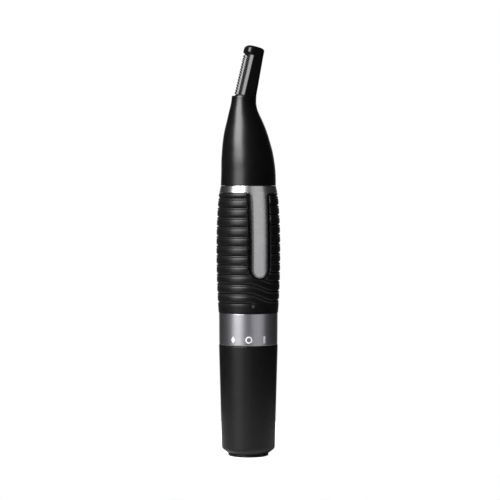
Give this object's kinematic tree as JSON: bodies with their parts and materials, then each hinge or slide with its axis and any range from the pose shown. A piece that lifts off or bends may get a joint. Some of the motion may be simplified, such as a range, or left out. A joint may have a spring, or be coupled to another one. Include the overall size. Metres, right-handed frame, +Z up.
{
  "type": "nose hair trimmer",
  "caption": "Pen-shaped battery nose hair trimmer: bent nozzle with a side cutter, ribbed rubber grip, metal trim and a twist-off battery cover.",
  "frame": {"origin": "centre of the foot's underside, on the surface the trimmer stands on", "axes": "+Z up along the body's axis; the visible metal tongue faces -Y; the nozzle bends towards +X and its cutter faces -X"},
  "size_m": [0.0218, 0.0218, 0.1403],
  "materials": {
    "black_plastic": "fine satin moulded",
    "gloss_black": "polished moulded",
    "natural_plastic": "moulded acetal",
    "grip_rubber": "soft-touch moulded",
    "seal_rubber": "nitrile",
    "silver_trim": "satin silver plated plastic",
    "steel": "bright spring steel",
    "brass": "stamped",
    "copper": "enamelled wire and copper",
    "ferrite": "sintered",
    "cell_wrap": "plain shrink sleeve",
    "mark_paint": "pad printed"
  },
  "bodies": {
    "battery_cover": {"battery_cover": "black_plastic", "base_foot": "black_plastic", "cover_contact": "brass", "cell_spring": "steel", "cell_can": "cell_wrap", "cell_cap": "steel"},
    "switch_rotor": {"switch_ring": "natural_plastic", "wiper_contact": "brass"},
    "main_body": {"chassis_tube": "black_plastic", "cover_seal": "seal_rubber", "lower_ring": "silver_trim", "mark_open": "mark_paint", "mark_off": "mark_paint", "mark_on": "mark_paint", "rubber_grip": "grip_rubber", "grip_dot": "mark_paint", "trim_collar": "silver_trim", "motor_can": "steel", "motor_end_cap": "natural_plastic", "magnet_right": "ferrite", "magnet_left": "ferrite", "brush_right": "ferrite", "brush_left": "ferrite", "terminal_right": "brass", "terminal_left": "brass", "front_bush": "brass", "rear_bush": "brass", "splash_seal": "seal_rubber", "positive_contact": "brass", "negative_strip": "brass"},
    "motor_rotor": {"motor_shaft": "steel", "armature_core": "steel", "armature_coils": "copper", "commutator": "copper", "crank_hub": "natural_plastic"},
    "head": {"head_shell": "gloss_black", "nozzle": "gloss_black", "guard_comb": "steel", "head_frame": "natural_plastic", "head_seal": "seal_rubber", "lever_pin": "steel"},
    "drive_lever": {"drive_lever": "natural_plastic"},
    "cutter": {"moving_blade": "steel", "blade_carrier": "natural_plastic", "blade_spring": "steel"}
  },
  "joints": [
    {"name": "cover_pull", "type": "slide", "parent": "battery_cover", "child": "switch_rotor", "axis": [0, 0, 1], "range_m": [0, 0.04]},
    {"name": "cover_twist", "type": "hinge", "parent": "switch_rotor", "child": "main_body", "pos_m": [0, 0, 0.042], "axis": [0, 0, 1], "range_deg": [-32, 32]},
    {"name": "rotor_spin", "type": "hinge", "parent": "main_body", "child": "motor_rotor", "pos_m": [0, 0, 0.075], "axis": [0, 0, 1], "continuous": true},
    {"name": "head_pull", "type": "slide", "parent": "main_body", "child": "head", "axis": [0, 0, 1], "range_m": [0, 0.02]},
    {"name": "lever_rock", "type": "hinge", "parent": "head", "child": "drive_lever", "pos_m": [0, 0, 0.10365], "axis": [0, 1, 0], "range_deg": [-3.9, 3.9]},
    {"name": "cutter_slide", "type": "slide", "parent": "head", "child": "cutter", "axis": [0.2419, 0, 0.9703], "range_m": [-0.0004, 0.0004]}
  ],
  "couplings": [
    {"joint": "cutter_slide", "follows": "lever_rock", "m_per_rad": 0.0057017}
  ]
}
